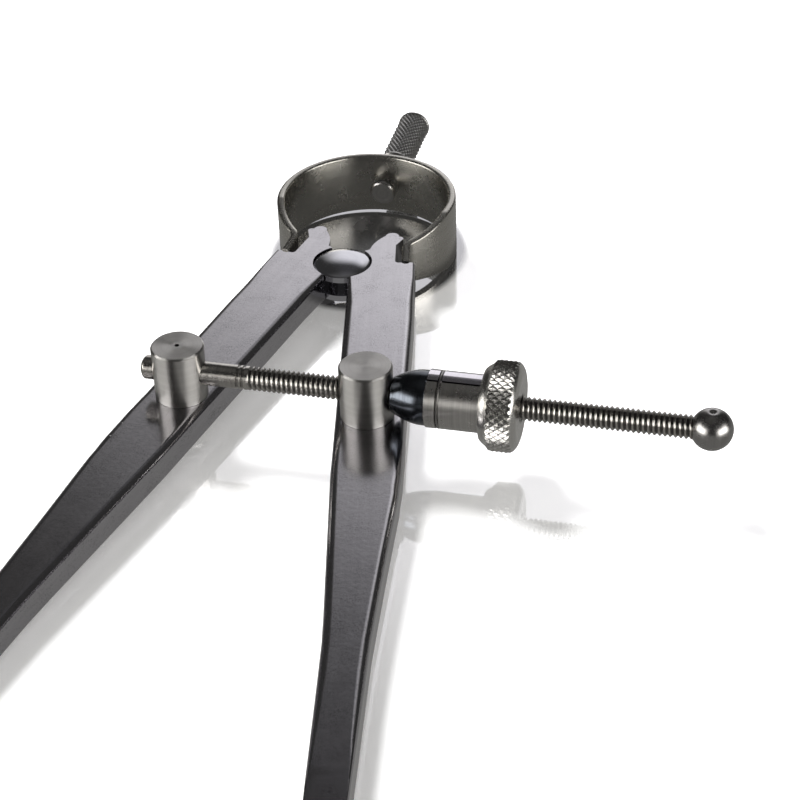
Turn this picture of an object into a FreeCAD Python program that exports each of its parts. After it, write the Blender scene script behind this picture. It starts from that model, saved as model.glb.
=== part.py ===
import FreeCAD, Part
import math
import os

os.makedirs("parts", exist_ok=True)
V = FreeCAD.Vector

# Spring caliper with inside feet, lying on its side. Millimetres, +Z up.
# The origin is on the fulcrum axis, in the plane that the bow's lower edge stands on.
# The adjusting screw runs along +X and the legs point towards -Y.

# Legs, in a frame of their own: X outward from the fulcrum axis, -Y towards the foot
leg_thickness = 5.1
leg_width = 11.1
leg_inner_offset = 1.1
leg_reach = 148.0
rest_angle = 11.5
taper_start = 46.0
taper_straight = 60.0
taper_loss = 0.85
taper_bulge = 0.24
ankle_width = 4.6
edge_radius = 0.6

# Foot turned outward at the end of each leg
heel_radius = 11.0
toe_radius = 1.3
instep_radius = 6.4
foot_thickness = 3.6
foot_thinning_length = 34.0

# Leg head with the recess that holds the bow's end
shoulder_drop = 0.5
shoulder_inset = 0.2
recess_depth = 3.5
recess_height = 5.6
recess_corner = 0.6
hook_reach = 1.2
hook_rise = 2.0
hook_nose = 0.75
crown_top = 8.95
crown_x = 8.5
crown_left_x = 6.9
crown_left_y = 8.1
brow_x = 5.4
brow_y = 6.3
throat_x = 4.4
throat_y = 3.8

# Fulcrum stud, a spool with two flush heads
stem_radius = 2.6
socket_angle = 58.0
stud_head_radius = 4.65
stud_head_thickness = 1.3
stud_dome = 0.35
stud_rim_chamfer = 0.2

# Bow spring
bow_radius = 15.3
bow_thickness = 1.3
bow_width = 11.0
bow_centre_y = 17.0
bow_bend_radius = 1.6
bow_taper_angle = 78.0
bow_tongue_width = 4.7
bow_edge_chamfer = 0.22

# Finger grip riveted through the back of the bow
grip_rivet_radius = 1.8
grip_rivet_proud = 2.6
grip_rivet_chamfer = 0.35
grip_flange_radius = 3.6
grip_flange_length = 1.4
grip_flange_sink = 0.6
grip_neck_radius = 2.1
grip_neck_length = 3.2
grip_radius = 2.9
grip_length = 17.0
grip_chamfer = 0.6

# Swivel posts
post_radius = 4.0
post_height = 8.6
post_chamfer = 0.25
post_from_fulcrum = 43.0
post_edge_margin = 0.8
shank_radius = 2.3
washer_radius = 3.6
washer_thickness = 0.8
rivet_height = 0.45
rivet_radius = 2.7

# Adjusting screw with its pin and end ball
screw_radius = 1.8
screw_height = 4.15
screw_stub = 1.75
stub_chamfer = 0.55
plain_shank_length = 10.7
relief_depth = 0.2
relief_width = 0.45
relief_count = 2
screw_reach = 50.35
spigot_radius = 1.3
spigot_length = 3.4
ball_radius = 3.1
pin_radius = 0.9
pin_hole_radius = 0.35
pin_length = 7.0

# Split adjusting nut: two half nuts in a thrust cup, held by a ring spring
nose_radius = 3.35
nose_length = 2.9
cup_radius = 4.1
cup_swell_length = 1.7
cup_rim_length = 0.75
cup_foot_length = 0.6
cup_foot_rise = 0.16
cup_brow_length = 0.43
cup_brow_drop = 0.11
cup_cone_mouth_radius = 3.3
cup_cone_throat_radius = 2.4
cup_cone_depth = 2.6
barrel_radius = 4.3
barrel_length = 8.1
groove_from_cup = 1.6
groove_width = 0.6
ring_wire_radius = 0.24
wheel_radius = 6.75
wheel_shoulder_radius = 5.5
wheel_shoulder_length = 1.15
wheel_knurl_length = 3.3
wheel_face_length = 1.5
wheel_face_radius = 3.0
wheel_bevel = 0.35
wheel_bore_clearance = 0.25
tail_radius = 3.1
tail_length = 4.4
split_angle = 72.0
split_gap = 0.3

# Clearances
pivot_clearance = 0.05
bore_clearance = 0.06
screw_clearance = 0.08
axial_clearance = 0.04
head_clearance = 0.25
seat_gap = 0.02
bow_seat_gap = 0.1
tongue_gap = 1.1

# Heights and places that follow from the sizes above
leg_bottom = (bow_width - leg_thickness) / 2
leg_top = leg_bottom + leg_thickness
mid_height = bow_width / 2
leg_outer = leg_inner_offset + leg_width
recess_x = leg_outer - recess_depth
post_offset = leg_inner_offset + post_edge_margin + post_radius
angle = math.radians(rest_angle)
post_x = post_offset * math.cos(angle) + post_from_fulcrum * math.sin(angle)
post_y = post_offset * math.sin(angle) - post_from_fulcrum * math.cos(angle)
screw_z = leg_top + screw_height
post_top = leg_top + axial_clearance + post_height
socket_radius = stem_radius + pivot_clearance


def cylinder_z(radius, low, high, x=0.0, y=0.0):
    return Part.makeCylinder(radius, high - low, V(x, y, low))


def cylinder_x(radius, start, end):
    """Cylinder on the screw's axis line."""
    return Part.makeCylinder(radius, end - start, V(start, post_y, screw_z), V(1, 0, 0))


def turned(profile, base, axis):
    """Solid of revolution of a closed profile given as points or ready edges."""
    face = Part.Face(Part.Wire(profile))
    return face.revolve(base, axis, 360)


def lines(points):
    closed = points + [points[0]]
    return [Part.makeLine(a, b) for a, b in zip(closed[:-1], closed[1:])]


def turned_on_screw(points):
    """Revolve (x, radius) points about the screw's axis."""
    vectors = [V(x, post_y, screw_z + radius) for x, radius in points]
    return turned(lines(vectors), V(0, post_y, screw_z), V(1, 0, 0))


def turned_on_z(points, x=0.0, y=0.0):
    """Revolve (radius, z) points about an upright axis."""
    vectors = [V(x + radius, y, z) for radius, z in points]
    return turned(lines(vectors), V(x, y, 0), V(0, 0, 1))


def arc(start, through, end):
    return Part.Arc(V(*start, 0), V(*through, 0), V(*end, 0)).toShape()


def line(start, end):
    return Part.makeLine(V(*start, 0), V(*end, 0))


def on_socket(degrees):
    turn = math.radians(degrees)
    return socket_radius * math.cos(turn), socket_radius * math.sin(turn)


def leg_outline():
    """Plan of one leg: socket, straight inner edge, turned foot, tapered outer edge, recess and head."""
    socket_high = on_socket(socket_angle)
    socket_low = (leg_inner_offset, -math.sqrt(socket_radius ** 2 - leg_inner_offset ** 2))
    heel = (leg_inner_offset, heel_radius - leg_reach)
    toe_x = leg_inner_offset + heel_radius
    sole = (toe_x, -leg_reach)
    heel_mid = (toe_x - heel_radius * math.sqrt(0.5), heel[1] - heel_radius * math.sqrt(0.5))
    toe = (toe_x + toe_radius, toe_radius - leg_reach)
    toe_top = (toe_x, 2 * toe_radius - leg_reach)
    ankle = (leg_inner_offset + ankle_width, toe_top[1] + instep_radius)
    instep_mid = (toe_x - instep_radius * math.sqrt(0.5), ankle[1] - instep_radius * math.sqrt(0.5))
    taper_low = (leg_outer - taper_loss, -taper_straight)
    taper_mid = (leg_outer - taper_loss * taper_bulge, -(taper_start + taper_straight) / 2)
    taper_high = (leg_outer, -taper_start)
    shoulder = (leg_outer - shoulder_inset, -shoulder_drop)
    corner_low = (recess_x + recess_corner, -shoulder_drop)
    sagitta = recess_corner * (1 - math.sqrt(0.5))
    corner_mid = (recess_x + sagitta, sagitta - shoulder_drop)
    corner_high = (recess_x, recess_corner - shoulder_drop)
    recess_high = (recess_x, recess_height - shoulder_drop)
    hook_low = (recess_x + hook_reach, recess_high[1] + hook_rise)
    hook_mid = (hook_low[0] - hook_nose * (1 - math.sqrt(0.5)), hook_low[1] + hook_nose * math.sqrt(0.5))
    hook_high = (hook_low[0] - hook_nose, hook_low[1] + hook_nose)
    crown = (crown_x, crown_top)
    crown_left = (crown_left_x, crown_left_y)
    brow = (brow_x, brow_y)
    throat = (throat_x, throat_y)
    return [
        arc(socket_high, (socket_radius, 0), socket_low),
        line(socket_low, heel),
        arc(heel, heel_mid, sole),
        arc(sole, toe, toe_top),
        arc(toe_top, instep_mid, ankle),
        line(ankle, taper_low),
        arc(taper_low, taper_mid, taper_high),
        line(taper_high, shoulder),
        line(shoulder, corner_low),
        arc(corner_low, corner_mid, corner_high),
        line(corner_high, recess_high),
        line(recess_high, hook_low),
        arc(hook_low, hook_mid, hook_high),
        arc(hook_high, crown, crown_left),
        arc(crown_left, brow, throat),
        line(throat, socket_high),
    ]


def foot_thinning(side):
    """Wedge that thins the foot towards its toe, above (side 1) or below (side -1)."""
    depth = (leg_thickness - foot_thickness) / 2
    start = V(-leg_width, foot_thinning_length - leg_reach, mid_height + side * leg_thickness / 2)
    low = V(-leg_width, -leg_reach, mid_height + side * (leg_thickness / 2 - depth))
    out = V(-leg_width, -leg_reach - leg_width, mid_height + side * (leg_thickness / 2 - depth))
    up = V(-leg_width, -leg_reach - leg_width, mid_height + side * leg_thickness)
    back = V(-leg_width, foot_thinning_length - leg_reach, mid_height + side * leg_thickness)
    face = Part.Face(Part.Wire(lines([start, low, out, up, back])))
    return face.extrude(V(4 * leg_width, 0, 0))


def long_edges(body):
    """Edges of the two flat faces beyond the head, along both sides of the leg and round the foot."""
    found = []
    for edge in body.Edges:
        box = edge.BoundBox
        flat = box.ZMax - box.ZMin < 0.001
        on_face = abs(box.ZMax - leg_top) < 0.001 or abs(box.ZMin - leg_bottom) < 0.001
        beyond = box.YMax < -shoulder_drop + 0.001 and box.YMin < -shoulder_drop - 0.001
        if flat and on_face and beyond:
            found.append(edge)
    return found


def make_leg():
    """Right leg in its own frame."""
    body = Part.Face(Part.Wire(leg_outline())).extrude(V(0, 0, leg_thickness))
    body.translate(V(0, 0, leg_bottom))
    body = body.makeFillet(edge_radius, long_edges(body))
    for side in (1, -1):
        body = body.cut(foot_thinning(side))
    recess_radius = stud_head_radius + head_clearance
    recess_floor = stud_head_thickness + axial_clearance
    body = body.cut(cylinder_z(recess_radius, leg_top - recess_floor, leg_top + leg_thickness))
    body = body.cut(cylinder_z(recess_radius, leg_bottom - leg_thickness, leg_bottom + recess_floor))
    bore = cylinder_z(shank_radius + bore_clearance, 0, bow_width, post_offset, -post_from_fulcrum)
    return body.cut(bore)


def placed_right(shape):
    copy = shape.copy()
    copy.rotate(V(0, 0, 0), V(0, 0, 1), rest_angle)
    return copy


def mirrored(shape):
    return shape.mirror(V(0, 0, 0), V(1, 0, 0))


def stud_head():
    """Upper head of the fulcrum stud: a thin disc under a low ball-shaped dome, with a rounded rim."""
    high = mid_height + leg_thickness / 2
    low = high - stud_head_thickness
    crown = high + stud_dome
    ball = (stud_head_radius ** 2 + stud_dome ** 2) / (2 * stud_dome)
    disc = cylinder_z(stud_head_radius, low, crown)
    head = disc.common(Part.makeSphere(ball, V(0, 0, crown - ball)))
    middle = (low + high) / 2
    rims = [edge for edge in head.Edges if edge.BoundBox.ZMin > middle and edge.Length > stud_head_radius]
    return head.makeChamfer(stud_rim_chamfer, rims[:1])


def make_stud():
    """Spool: a stem between two thin domed heads that sit flush in the legs."""
    head = stud_head()
    other = head.mirror(V(0, 0, mid_height), V(0, 0, 1))
    half = leg_thickness / 2 - stud_head_thickness / 2
    stem = cylinder_z(stem_radius, mid_height - half, mid_height + half)
    return stem.fuse([head, other]).removeSplitter()


def in_leg_frame(x, y):
    """Point given in the part's frame, seen from the right leg's own frame."""
    return x * math.cos(angle) + y * math.sin(angle), y * math.cos(angle) - x * math.sin(angle)


def bow_half():
    """Plan of the right half of the bow in the leg's frame: ring, reverse bend and straight tongue."""
    inner = bow_radius - bow_thickness
    centre_x, centre_y = in_leg_frame(0, bow_centre_y)
    back_x, back_y = math.sin(angle), math.cos(angle)
    tongue_inner = recess_x + tongue_gap
    tongue_outer = tongue_inner + bow_thickness
    end_y = bow_seat_gap - shoulder_drop
    bend_x = tongue_outer + bow_bend_radius
    bend_y = centre_y - math.sqrt((bow_radius + bow_bend_radius) ** 2 - (bend_x - centre_x) ** 2)
    away = math.atan2(bend_y - centre_y, bend_x - centre_x)
    halfway = (away + math.atan2(back_y, back_x)) / 2
    meet = away + math.pi

    def ring(radius, turn):
        return centre_x + radius * math.cos(turn), centre_y + radius * math.sin(turn)

    def bend(radius, turn):
        return bend_x + radius * math.cos(turn), bend_y + radius * math.sin(turn)

    wide = bow_bend_radius + bow_thickness
    back_outer = (centre_x + bow_radius * back_x, centre_y + bow_radius * back_y)
    back_inner = (centre_x + inner * back_x, centre_y + inner * back_y)
    return [
        arc(back_outer, ring(bow_radius, halfway), ring(bow_radius, away)),
        arc(bend(bow_bend_radius, meet), bend(bow_bend_radius, (meet + math.pi) / 2), (tongue_outer, bend_y)),
        line((tongue_outer, bend_y), (tongue_outer, end_y)),
        line((tongue_outer, end_y), (tongue_inner, end_y)),
        line((tongue_inner, end_y), (tongue_inner, bend_y)),
        arc((tongue_inner, bend_y), bend(wide, (meet + math.pi) / 2), bend(wide, meet)),
        arc(ring(inner, away), ring(inner, halfway), back_inner),
        line(back_inner, back_outer),
    ]


def tongue_cut(side):
    """Wedge that narrows the bow from its full width to the tongue, above (1) or below (-1)."""
    start = bow_centre_y - bow_radius * math.cos(math.radians(bow_taper_angle))
    end = -shoulder_drop
    level = mid_height + side * bow_width / 2
    tip = mid_height + side * bow_tongue_width / 2
    beyond = level + side
    points = [
        V(0, start, level),
        V(0, end, tip),
        V(0, -bow_radius, tip),
        V(0, -bow_radius, beyond),
        V(0, start, beyond),
    ]
    return Part.Face(Part.Wire(lines(points))).extrude(V(2 * bow_radius, 0, 0))


def make_bow():
    """Open ring of flat spring stock whose ends narrow, bend back and stand in the leg heads."""
    half = placed_right(Part.Face(Part.Wire(bow_half()))).extrude(V(0, 0, bow_width))
    rims = []
    for edge in half.Edges:
        box = edge.BoundBox
        level = box.ZMax - box.ZMin < bow_edge_chamfer
        if level and edge.Length > bow_radius:
            rims.append(edge)
    half = half.makeChamfer(bow_edge_chamfer, rims)
    for side in (1, -1):
        half = half.cut(tongue_cut(side))
    band = half.fuse(mirrored(half)).removeSplitter()
    hole = Part.makeCylinder(grip_rivet_radius, bow_radius, V(0, bow_centre_y, mid_height), V(0, 1, 0))
    return band.cut(hole)


def make_grip():
    """Knurled finger grip: rivet end through the bow, flange, neck and grip."""
    inside = bow_centre_y + bow_radius - bow_thickness - grip_rivet_proud
    seat = bow_centre_y + bow_radius - grip_flange_sink
    neck = bow_centre_y + bow_radius + grip_flange_length
    grip = neck + grip_neck_length
    end = grip + grip_length
    points = [
        (inside, 0),
        (inside, grip_rivet_radius - grip_rivet_chamfer),
        (inside + grip_rivet_chamfer, grip_rivet_radius),
        (seat, grip_rivet_radius),
        (seat, grip_flange_radius),
        (neck, grip_flange_radius),
        (neck + grip_chamfer, grip_neck_radius),
        (grip, grip_neck_radius),
        (grip + grip_chamfer, grip_radius),
        (end - grip_chamfer, grip_radius),
        (end, grip_radius - grip_chamfer),
        (end, 0),
    ]
    vectors = [V(radius, y, mid_height) for y, radius in points]
    body = turned(lines(vectors), V(0, 0, mid_height), V(0, 1, 0))
    saddle = Part.makeCylinder(bow_radius, bow_width, V(0, bow_centre_y, 0))
    rivet = Part.makeCylinder(grip_rivet_radius, bow_radius, V(0, bow_centre_y, mid_height), V(0, 1, 0))
    return body.cut(saddle.cut(rivet))


def make_post(x):
    """Post with a shank that swivels in the leg and is riveted over its washer."""
    base = leg_top + axial_clearance
    washer_low = leg_bottom - axial_clearance - washer_thickness
    points = [
        (0, post_top),
        (post_radius - post_chamfer, post_top),
        (post_radius, post_top - post_chamfer),
        (post_radius, base),
        (shank_radius, base),
        (shank_radius, washer_low),
        (rivet_radius, washer_low),
        (shank_radius, washer_low - rivet_height),
        (0, washer_low - rivet_height),
    ]
    return turned_on_z(points, x, post_y)


def make_washer(x):
    high = leg_bottom - axial_clearance
    washer = cylinder_z(washer_radius, high - washer_thickness, high, x, post_y)
    return washer.cut(cylinder_z(shank_radius, 0, leg_bottom, x, post_y))


def make_post_left():
    post = make_post(-post_x)
    post = post.cut(cylinder_x(screw_radius, -post_x - 2 * post_radius, -post_x + 2 * post_radius))
    return post.cut(cylinder_z(pin_radius, post_top - pin_length, post_top + post_height, -post_x, post_y))


def make_post_right():
    post = make_post(post_x)
    return post.cut(cylinder_x(screw_radius + screw_clearance, post_x - 2 * post_radius, post_x + 2 * post_radius))


def make_screw():
    """Screw rod: domed stub, plain shank with relief rings, then the threaded length and ball spigot."""
    start = -post_x - post_radius - screw_stub
    end = post_x + screw_reach - math.sqrt(ball_radius ** 2 - screw_radius ** 2)
    points = [
        (start, 0),
        (start, screw_radius - stub_chamfer),
        (start + stub_chamfer, screw_radius),
        (end, screw_radius),
        (end, spigot_radius),
        (end + spigot_length, spigot_radius),
        (end + spigot_length, 0),
    ]
    rod = turned_on_screw(points)
    first = -post_x + plain_shank_length - relief_count * 2 * relief_width
    for ring in range(relief_count):
        low = first + ring * 2 * relief_width
        groove = cylinder_x(screw_radius * 2, low, low + relief_width)
        rod = rod.cut(groove.cut(cylinder_x(screw_radius - relief_depth, low, low + relief_width)))
    return rod.cut(cylinder_z(pin_radius, post_top - pin_length, post_top, -post_x, post_y))


def make_pin():
    pin = cylinder_z(pin_radius, post_top - pin_length, post_top, -post_x, post_y)
    return pin.cut(cylinder_z(pin_hole_radius, post_top - pin_length, post_top, -post_x, post_y))


def make_ball():
    centre = post_x + screw_reach
    ball = Part.makeSphere(ball_radius, V(centre, post_y, screw_z))
    face = centre - math.sqrt(ball_radius ** 2 - screw_radius ** 2)
    ball = ball.cut(cylinder_x(2 * ball_radius, face - ball_radius, face))
    return ball.cut(cylinder_x(spigot_radius, face, face + spigot_length))


nose_start = post_x + post_radius + seat_gap
cup_start = nose_start + nose_length
cup_rim = cup_start + cup_swell_length
cup_end = cup_rim + cup_rim_length
barrel_start = cup_end + axial_clearance
wheel_start = barrel_start + barrel_length
knurl_start = wheel_start + wheel_shoulder_length
knurl_end = knurl_start + wheel_knurl_length
nut_end = knurl_end + wheel_face_length


def make_nose():
    """Thrust cup: nose saddled on the post, swelling to a rim, with a cone seat inside."""
    back = post_x
    bore = screw_radius + screw_clearance
    points = [
        (back, bore),
        (back, nose_radius),
        (cup_start, nose_radius),
        (cup_start + cup_foot_length, nose_radius + cup_foot_rise),
        (cup_rim - cup_brow_length, cup_radius - cup_brow_drop),
        (cup_rim, cup_radius),
        (cup_end, cup_radius),
        (cup_end, cup_cone_mouth_radius),
        (cup_end - cup_cone_depth, cup_cone_throat_radius),
        (cup_end - cup_cone_depth, bore),
    ]
    cup = turned_on_screw(points)
    return cup.cut(cylinder_z(post_radius + seat_gap, 0, post_top + post_height, post_x, post_y))


def make_nut():
    """Both half nuts in one piece, before the split: cone nose, grooved barrel and tail."""
    bore = screw_radius + screw_clearance
    gap = axial_clearance
    groove = barrel_start + groove_from_cup
    groove_floor = barrel_radius - 2 * ring_wire_radius
    points = [
        (cup_end - cup_cone_depth + gap, bore),
        (cup_end - cup_cone_depth + gap, cup_cone_throat_radius - gap),
        (barrel_start, cup_cone_mouth_radius - gap),
        (barrel_start, barrel_radius),
        (groove, barrel_radius),
        (groove, groove_floor),
        (groove + groove_width, groove_floor),
        (groove + groove_width, barrel_radius),
        (wheel_start, barrel_radius),
        (wheel_start, tail_radius),
        (wheel_start + tail_length, tail_radius),
        (wheel_start + tail_length, bore),
    ]
    return turned_on_screw(points)


def make_wheel():
    """Thumb wheel pressed on the tails of the half nuts: shoulder, knurled rim and coned face."""
    bore = screw_radius + wheel_bore_clearance
    points = [
        (wheel_start, tail_radius),
        (wheel_start, wheel_shoulder_radius),
        (knurl_start, wheel_radius - wheel_bevel),
        (knurl_start + wheel_bevel, wheel_radius),
        (knurl_end - wheel_bevel, wheel_radius),
        (knurl_end, wheel_radius - wheel_bevel),
        (nut_end, wheel_face_radius),
        (nut_end, bore),
        (wheel_start + tail_length, bore),
        (wheel_start + tail_length, tail_radius),
    ]
    return turned_on_screw(points)


def half_space(side):
    """Block on one side of the nut's split plane, short of it by half the slit."""
    size = 4 * wheel_radius
    depth = size
    block = Part.makeBox(nut_end + size, size, depth)
    block.translate(V(-size / 2, -size / 2, split_gap / 2 if side > 0 else -depth - split_gap / 2))
    block.rotate(V(0, 0, 0), V(1, 0, 0), -split_angle)
    block.translate(V(0, post_y, screw_z))
    return block


def make_ring_spring():
    """Closed ring of wire with an eight-sided section, lying in the barrel's groove."""
    middle = barrel_start + groove_from_cup + groove_width / 2
    radius = barrel_radius - ring_wire_radius
    points = []
    for step in range(8):
        turn = math.radians(22.5 + 45 * step)
        points.append((middle + ring_wire_radius * math.cos(turn), radius + ring_wire_radius * math.sin(turn)))
    return turned_on_screw(points)


def build():
    leg = placed_right(make_leg())
    nut = make_nut()
    return {
        "bow_spring": make_bow(),
        "fulcrum_stud": make_stud(),
        "finger_grip": make_grip(),
        "leg_left": mirrored(leg),
        "leg_right": leg,
        "post_left": make_post_left(),
        "post_right": make_post_right(),
        "post_washer_left": make_washer(-post_x),
        "post_washer_right": make_washer(post_x),
        "adjusting_screw": make_screw(),
        "screw_pin": make_pin(),
        "screw_ball": make_ball(),
        "thrust_cup": make_nose(),
        "thumb_wheel": make_wheel(),
        "half_nut_front": nut.common(half_space(1)),
        "half_nut_back": nut.common(half_space(-1)),
        "nut_ring_spring": make_ring_spring(),
    }


for name, shape in build().items():
    shape.exportStep("parts/" + name + ".step")
    print(name, len(shape.Solids), shape.isValid(), round(shape.Volume, 2))
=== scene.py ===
import math
import bmesh
import bpy
import numpy as np
from mathutils import Matrix, Vector


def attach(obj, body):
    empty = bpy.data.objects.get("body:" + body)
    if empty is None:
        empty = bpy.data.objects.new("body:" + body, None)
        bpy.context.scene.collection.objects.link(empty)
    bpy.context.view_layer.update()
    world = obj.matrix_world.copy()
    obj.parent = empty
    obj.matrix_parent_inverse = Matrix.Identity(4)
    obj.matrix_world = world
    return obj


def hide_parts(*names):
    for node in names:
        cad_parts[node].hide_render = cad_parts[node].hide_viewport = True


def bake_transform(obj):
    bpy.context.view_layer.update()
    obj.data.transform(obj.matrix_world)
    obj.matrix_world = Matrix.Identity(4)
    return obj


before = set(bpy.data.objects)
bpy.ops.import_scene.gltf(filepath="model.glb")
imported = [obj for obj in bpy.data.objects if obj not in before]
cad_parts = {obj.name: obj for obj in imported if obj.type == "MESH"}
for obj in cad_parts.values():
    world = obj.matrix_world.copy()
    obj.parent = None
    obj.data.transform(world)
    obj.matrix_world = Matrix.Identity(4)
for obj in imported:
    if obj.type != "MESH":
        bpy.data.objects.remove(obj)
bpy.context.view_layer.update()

# Sizes that the pieces here share with the solids, in metres. The fulcrum stud stands on the origin.
MM = 0.001
REST = math.radians(11.5)                     # angle of each leg to the middle line in the photo
POST_X, POST_Y = 14.354 * MM, -40.962 * MM    # axis of the right post; the left one is at -POST_X
POST_R = 4.0 * MM
LEG_BOTTOM, LEG_TOP = 2.95 * MM, 8.05 * MM
LEG_MIDDLE = (LEG_BOTTOM + LEG_TOP) / 2
LEG_INNER = 1.1 * MM                          # from a leg's own line through the stud to its inner edge
SCREW_Z = 12.20 * MM
SCREW_R, ROOT_R = 1.8 * MM, 1.46 * MM         # crest and root of the thread
PITCH = 0.75 * MM
BALL_X, BALL_R = POST_X + 50.35 * MM, 3.1 * MM
BOW_MIDDLE, BOW_R = 17.0 * MM, 15.3 * MM      # stud to the ring's middle, and the outer radius

# Lines and points that turned pieces and their marks run round
SCREW_LINE = (0.0, POST_Y, SCREW_Z)
BALL_CENTRE = (BALL_X, POST_Y, SCREW_Z)
GRIP_LINE = (0.0, 0.0, LEG_MIDDLE)
STUD_LINE = (0.0, 0.0, 0.0)
LEFT_POST, RIGHT_POST = (-POST_X, POST_Y, 0.0), (POST_X, POST_Y, 0.0)


# ---------------------------------------------------------------- surfaces

SAME_PLACE = 1e-9


def sheet_mesh(name, points, close_u=False, close_v=False, relief=None):
    """Mesh from a grid of points shaped (rows, columns, 3): each cell between neighbours is one quad.
    With close_u the last row joins the first, and with close_v the last column joins the first. A first
    or last row whose points all coincide becomes one point with triangles round it. The faces are turned
    so that the signed volume is positive, which is outwards on a closed surface. relief is kept on the
    points."""
    rows, cols = points.shape[:2]
    index = np.arange(rows * cols).reshape(rows, cols)
    for row in (0, rows - 1):
        if cols > 2 and np.ptp(points[row], axis=0).max() < SAME_PLACE:
            index[row] = index[row, 0]
    if close_u:
        index = np.vstack([index, index[:1]])
    if close_v:
        index = np.hstack([index, index[:, :1]])
    quads = np.stack([index[:-1, :-1], index[1:, :-1], index[1:, 1:], index[:-1, 1:]], -1).reshape(-1, 4)
    flat = points.reshape(-1, 3)
    a, b, c, d = (flat[quads[:, k]] - flat.mean(0) for k in range(4))
    if (np.cross(a, b) * c).sum() + (np.cross(a, c) * d).sum() < 0:
        quads = quads[:, ::-1]
    distinct = quads != np.roll(quads, -1, 1)
    corners = distinct.sum(1)
    used, loops = np.unique(quads[distinct], return_inverse=True)
    mesh = bpy.data.meshes.new(name)
    mesh.vertices.add(len(used))
    mesh.vertices.foreach_set("co", flat[used].reshape(-1).astype(np.float32))
    mesh.loops.add(len(loops))
    mesh.loops.foreach_set("vertex_index", loops.reshape(-1).astype(np.int32))
    mesh.polygons.add(len(corners))
    mesh.polygons.foreach_set("loop_start", (np.cumsum(corners) - corners).astype(np.int32))
    mesh.polygons.foreach_set("loop_total", corners.astype(np.int32))
    mesh.update(calc_edges=True)
    mesh.validate()
    if relief is not None:
        layer = mesh.attributes.new("relief", "FLOAT", "POINT")
        layer.data.foreach_set("value", np.asarray(relief).reshape(-1)[used].astype(np.float32))
    piece = bpy.data.objects.new(name, mesh)
    bpy.context.scene.collection.objects.link(piece)
    return piece


def smooth(piece, degrees=35):
    """Smooth shading, with edges sharper than the angle kept crisp."""
    mesh = piece.data
    mesh.polygons.foreach_set("use_smooth", np.ones(len(mesh.polygons), bool))
    mesh.set_sharp_from_angle(angle=math.radians(degrees))
    return piece


def dense(stations, step):
    """Points (place, radius) along a profile, with extra ones so that none is further than step from
    the next."""
    stations = np.asarray(stations, float)
    out = [stations[:1]]
    for a, b in zip(stations[:-1], stations[1:]):
        count = max(1, int(np.ceil(np.hypot(*(b - a)) / step)))
        out.append(a + (b - a) * np.linspace(0, 1, count + 1)[1:, None])
    return np.vstack(out)


def turned(name, place, radius, centre, axis, relief=None, ring=False):
    """Surface of revolution: the point at (i, j) lies place[i] along the axis and radius[i, j] from it,
    at the angle 2 pi j / count. The axis is X, Y or Z and passes through centre. relief, between 0 in a
    groove and 1 on a crest, is kept on the points for the material. ring joins the profile's end to its
    start."""
    angle = np.linspace(0, 2 * np.pi, radius.shape[1], endpoint=False)[None, :]
    along = np.broadcast_to(np.asarray(place)[:, None], radius.shape)
    side, up = radius * np.cos(angle), radius * np.sin(angle)
    if axis == "X":
        points = np.stack([along, centre[1] + side, centre[2] + up], -1)
    elif axis == "Y":
        points = np.stack([centre[0] + up, along, centre[2] + side], -1)
    else:
        points = np.stack([centre[0] + side, centre[1] + up, along], -1)
    crest = np.ones(radius.shape) if relief is None else np.broadcast_to(relief, radius.shape)
    return sheet_mesh(name, points, close_u=ring, close_v=True, relief=crest)


def diamond(u, v):
    """Height of a diamond knurl between 0 and 1: two crossed families of V grooves, the deeper one winning.
    u and v count the grooves of each family."""
    first = np.abs(2 * (u - np.floor(u)) - 1)
    second = np.abs(2 * (v - np.floor(v)) - 1)
    return 1 - np.maximum(first, second)


# ---------------------------------------------------------------- adjusting screw

def thread_radius(place, angle):
    """Radius of the thread: a V between root and crest, flat at both, that advances one pitch per turn."""
    phase = place / PITCH - angle / (2 * np.pi)
    wave = np.abs(2 * (phase - np.floor(phase)) - 1)
    flank = np.clip((wave - 0.12) / 0.72, 0, 1)
    return ROOT_R + (SCREW_R - ROOT_R) * flank


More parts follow.
